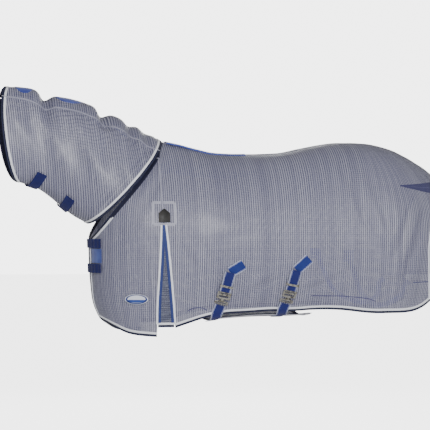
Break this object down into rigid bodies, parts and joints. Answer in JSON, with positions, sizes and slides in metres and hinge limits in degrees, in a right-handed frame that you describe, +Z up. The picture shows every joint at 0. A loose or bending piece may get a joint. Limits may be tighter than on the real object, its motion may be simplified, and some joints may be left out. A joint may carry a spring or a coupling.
{
  "type": "fly sheet",
  "caption": "Mesh fly sheet for a horse with a neck hood, belly wrap, shoulder gussets, tail flap, surcingles and leg straps.",
  "frame": {"origin": "middle of the level seat on the underside of the spine band, at the dip of the back", "axes": "-X to the horse's head, +X to the tail, -Y the near (left) side, +Z up"},
  "size_m": [2.2124, 0.6389, 1.1507],
  "materials": {
    "mesh_cloth": "vinyl-coated woven mesh with fine dark pinstripes, soft satin sheen, slightly see-through",
    "gusset_mesh": "darker striped woven mesh, satin",
    "edge_binding": "navy folded binding tape with a pale piped inner edge, matt",
    "navy_webbing": "ribbed navy webbing with pale edge lines, matt",
    "blue_lining": "smooth blue nylon lining, slight sheen",
    "touch_tape": "blue hook-and-loop tape, matt and fuzzy",
    "patch_leather": "black grained leather, semi-matt",
    "hook_steel": "plated steel, worn satin",
    "badge_print": "soft moulded badge, plain two-tone, satin"
  },
  "bodies": {
    "sheet": {"near_body_panel": "mesh_cloth", "off_body_panel": "mesh_cloth", "near_shoulder_panel": "mesh_cloth", "off_shoulder_panel": "mesh_cloth", "near_gusset": "gusset_mesh", "off_gusset": "gusset_mesh", "spine_band": "edge_binding", "near_hem_binding": "edge_binding", "off_hem_binding": "edge_binding", "near_rear_binding": "edge_binding", "off_rear_binding": "edge_binding", "near_shoulder_hem_binding": "edge_binding", "off_shoulder_hem_binding": "edge_binding", "near_front_binding": "edge_binding", "off_front_binding": "edge_binding", "near_neckline_binding": "edge_binding", "off_neckline_binding": "edge_binding", "wither_lining": "blue_lining", "near_leg_strap_patch": "blue_lining", "off_leg_strap_patch": "blue_lining", "chest_loop_patch": "touch_tape", "near_gusset_patch": "patch_leather", "off_gusset_patch": "patch_leather", "badge": "badge_print", "front_surcingle_anchor": "navy_webbing", "rear_surcingle_anchor": "navy_webbing", "near_leg_strap": "navy_webbing", "off_leg_strap": "navy_webbing", "near_leg_strap_ring": "hook_steel", "off_leg_strap_ring": "hook_steel", "near_leg_snap": "hook_steel", "off_leg_snap": "hook_steel"},
    "hood": {"near_hood_panel": "mesh_cloth", "off_hood_panel": "mesh_cloth", "crest_panel": "mesh_cloth", "crest_lining": "blue_lining", "near_face_binding": "edge_binding", "off_face_binding": "edge_binding", "near_hood_rear_binding": "edge_binding", "off_hood_rear_binding": "edge_binding"},
    "throat_tab_front": {"throat_tab_front": "navy_webbing"},
    "throat_tab_rear": {"throat_tab_rear": "navy_webbing"},
    "chest_tab_upper": {"chest_tab_upper": "navy_webbing"},
    "chest_tab_lower": {"chest_tab_lower": "navy_webbing"},
    "belly_wrap": {"belly_wrap": "mesh_cloth", "wrap_edge_binding": "edge_binding", "front_surcingle_hook": "hook_steel", "rear_surcingle_hook": "hook_steel", "front_wrap_strap": "navy_webbing", "rear_wrap_strap": "navy_webbing"},
    "front_strap": {"front_surcingle_strap": "navy_webbing", "front_surcingle_plate": "hook_steel"},
    "rear_strap": {"rear_surcingle_strap": "navy_webbing", "rear_surcingle_plate": "hook_steel"},
    "front_slider": {"front_slider": "hook_steel"},
    "rear_slider": {"rear_slider": "hook_steel"},
    "tail_flap": {"tail_flap": "mesh_cloth"},
    "near_snap_bolt": {"near_leg_snap_bolt": "hook_steel"},
    "off_snap_bolt": {"off_leg_snap_bolt": "hook_steel"}
  },
  "joints": [
    {"name": "hood_fold", "type": "hinge", "parent": "sheet", "child": "hood", "pos_m": [-0.464, 0, 0.064], "axis": [0, 1, 0], "range_deg": [0, 120]},
    {"name": "throat_tab_front_open", "type": "hinge", "parent": "hood", "child": "throat_tab_front", "pos_m": [-1.0816, 0.0364, -0.1415], "axis": [0.9539, 0.0223, -0.2992], "range_deg": [0, 140]},
    {"name": "throat_tab_rear_open", "type": "hinge", "parent": "hood", "child": "throat_tab_rear", "pos_m": [-0.9305, 0.0484, -0.2451], "axis": [0.7565, 0.1308, -0.6408], "range_deg": [0, 140]},
    {"name": "chest_tab_upper_open", "type": "hinge", "parent": "sheet", "child": "chest_tab_upper", "pos_m": [-0.806, 0.0338, -0.4183], "axis": [0, 0, -1], "range_deg": [0, 150]},
    {"name": "chest_tab_lower_open", "type": "hinge", "parent": "sheet", "child": "chest_tab_lower", "pos_m": [-0.8028, 0.0331, -0.5333], "axis": [0, 0, -1], "range_deg": [0, 150]},
    {"name": "belly_wrap_drop", "type": "hinge", "parent": "sheet", "child": "belly_wrap", "pos_m": [0, 0.206, -0.742], "axis": [1, 0, 0], "range_deg": [0, 75]},
    {"name": "front_strap_lift", "type": "hinge", "parent": "sheet", "child": "front_strap", "pos_m": [-0.1894, -0.2933, -0.5521], "axis": [-0.9723, 0.049, 0.2284], "range_deg": [0, 100]},
    {"name": "rear_strap_lift", "type": "hinge", "parent": "sheet", "child": "rear_strap", "pos_m": [0.122, -0.3108, -0.5435], "axis": [-0.9771, -0.0559, 0.2052], "range_deg": [0, 100]},
    {"name": "front_slider_adjust", "type": "slide", "parent": "front_strap", "child": "front_slider", "axis": [-0.2006, 0.3266, -0.9236], "range_m": [-0.008, 0.01]},
    {"name": "rear_slider_adjust", "type": "slide", "parent": "rear_strap", "child": "rear_slider", "axis": [-0.2064, 0.3847, -0.8997], "range_m": [-0.008, 0.01]},
    {"name": "tail_flap_lift", "type": "hinge", "parent": "sheet", "child": "tail_flap", "pos_m": [0.852, 0, -0.106], "axis": [0, -1, 0], "range_deg": [0, 100]},
    {"name": "near_snap_bolt_pull", "type": "slide", "parent": "sheet", "child": "near_snap_bolt", "axis": [-1, 0, 0], "range_m": [0, 0.011], "stiffness_N_per_m": 200, "springref_m": -0.002},
    {"name": "off_snap_bolt_pull", "type": "slide", "parent": "sheet", "child": "off_snap_bolt", "axis": [-1, 0, 0], "range_m": [0, 0.011], "stiffness_N_per_m": 200, "springref_m": -0.002}
  ]
}
